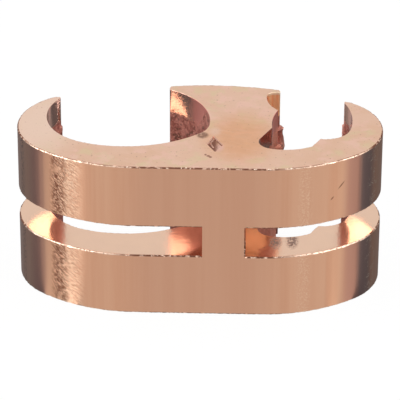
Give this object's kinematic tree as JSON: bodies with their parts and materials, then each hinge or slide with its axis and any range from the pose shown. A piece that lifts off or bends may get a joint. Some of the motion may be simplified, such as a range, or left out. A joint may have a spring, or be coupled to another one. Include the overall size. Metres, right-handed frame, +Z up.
{
  "type": "e-profile grounding compression connector",
  "caption": "Solid copper compression connector that joins a grounding rod, rebar or heavy cable in its large groove to a smaller cable in its side groove, with a slot for a tie.",
  "frame": {"origin": "on the lower sawn face, under the middle of the box round the profile", "axes": "Z runs up along the drawn profile and the conductors, X to the right across the two grooves, +Y from the closed spine towards the open mouths of the grooves"},
  "size_m": [0.059, 0.0281, 0.027],
  "materials": {
    "connector_body": null
  },
  "bodies": {
    "root": {"connector_body": "connector_body"}
  },
  "joints": []
}
